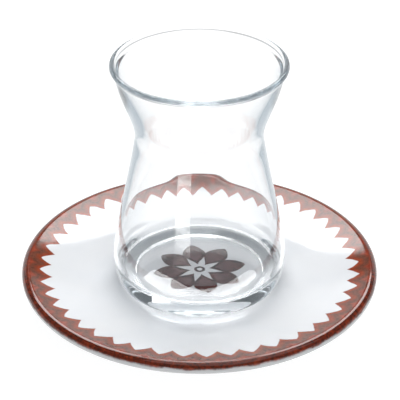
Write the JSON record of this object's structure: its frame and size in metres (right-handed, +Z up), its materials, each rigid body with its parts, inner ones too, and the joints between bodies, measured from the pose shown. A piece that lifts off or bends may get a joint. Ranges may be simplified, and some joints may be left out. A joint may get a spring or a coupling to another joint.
{
  "type": "turkish tea glass with saucer",
  "caption": "Empty tulip-shaped clear tea glass with a thick base, standing on a round white glazed saucer with a scalloped red-brown border.",
  "frame": {"origin": "middle of the saucer's foot ring, on the surface it stands on", "axes": "+Z up along the common axis of glass and saucer, -Y towards the picture's camera"},
  "size_m": [0.12, 0.12, 0.0878],
  "materials": {
    "clear_glass": "polished",
    "glaze": "gloss white glaze with a red-brown glazed border"
  },
  "bodies": {
    "root": {"glass": "clear_glass", "saucer": "glaze"}
  },
  "joints": []
}
